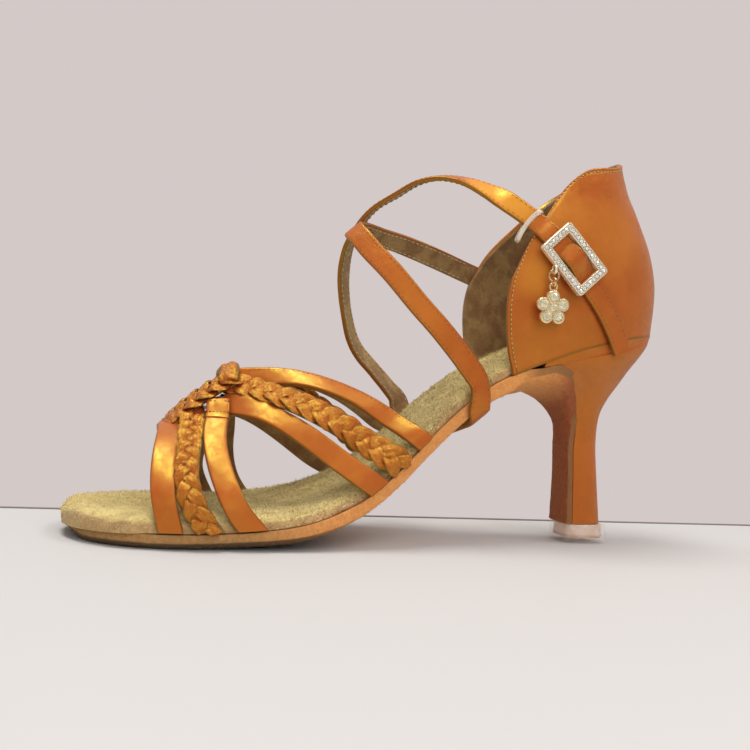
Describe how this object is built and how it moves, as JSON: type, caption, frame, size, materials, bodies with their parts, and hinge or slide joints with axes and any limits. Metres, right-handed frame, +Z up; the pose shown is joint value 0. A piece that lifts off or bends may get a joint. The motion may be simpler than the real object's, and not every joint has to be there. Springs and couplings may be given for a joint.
{
  "type": "dance sandal",
  "caption": "Heeled ballroom sandal with plain and plaited vamp straps, closed heel cup, crossed ankle strap with a stone-set buckle, and a hanging flower charm",
  "frame": {"origin": "on the floor, in the middle of the flat forefoot tread", "axes": "toe towards -X, outer side of the foot towards -Y, up is +Z"},
  "size_m": [0.2089, 0.0809, 0.1402],
  "materials": {
    "outsole_suede": "brushed suede, orange tan",
    "insole_suede": "fuzzy khaki suede",
    "heel_leather": "satin tan",
    "tip_rubber": "matt tan",
    "clear_plastic": "clear, faintly pink",
    "counter_leather": "satin tan with a khaki lining",
    "strap_leather": "satin tan",
    "ankle_leather": "satin tan",
    "keeper_plastic": "pinkish, cloudy",
    "buckle_metal": "pale gold set with stones",
    "ring_metal": "gold",
    "link_metal": "gold",
    "flower_metal": "gold set with stones"
  },
  "bodies": {
    "shoe": {"outsole": "outsole_suede", "insole": "insole_suede", "heel": "heel_leather", "heel_tip": "tip_rubber", "heel_protector": "clear_plastic", "counter": "counter_leather", "vamp_straps": "strap_leather", "ankle_strap": "ankle_leather", "keeper_loop": "keeper_plastic", "buckle_frame": "buckle_metal"},
    "charm_ring": {"charm_ring": "ring_metal"},
    "charm_link": {"charm_link": "link_metal"},
    "charm_flower": {"charm_flower": "flower_metal"}
  },
  "joints": [
    {"name": "ring_sway", "type": "hinge", "parent": "shoe", "child": "charm_ring", "pos_m": [0.11309, -0.02949, 0.09616], "axis": [0.0247, -0.9997, 0], "range_deg": [-30, 8]},
    {"name": "link_lift", "type": "hinge", "parent": "charm_ring", "child": "charm_link", "pos_m": [0.11309, -0.02949, 0.09371], "axis": [-0.9997, -0.0247, 0], "range_deg": [0, 70]},
    {"name": "flower_sway", "type": "hinge", "parent": "charm_link", "child": "charm_flower", "pos_m": [0.11309, -0.02949, 0.09181], "axis": [0.0247, -0.9997, 0], "range_deg": [-18, 10]}
  ]
}
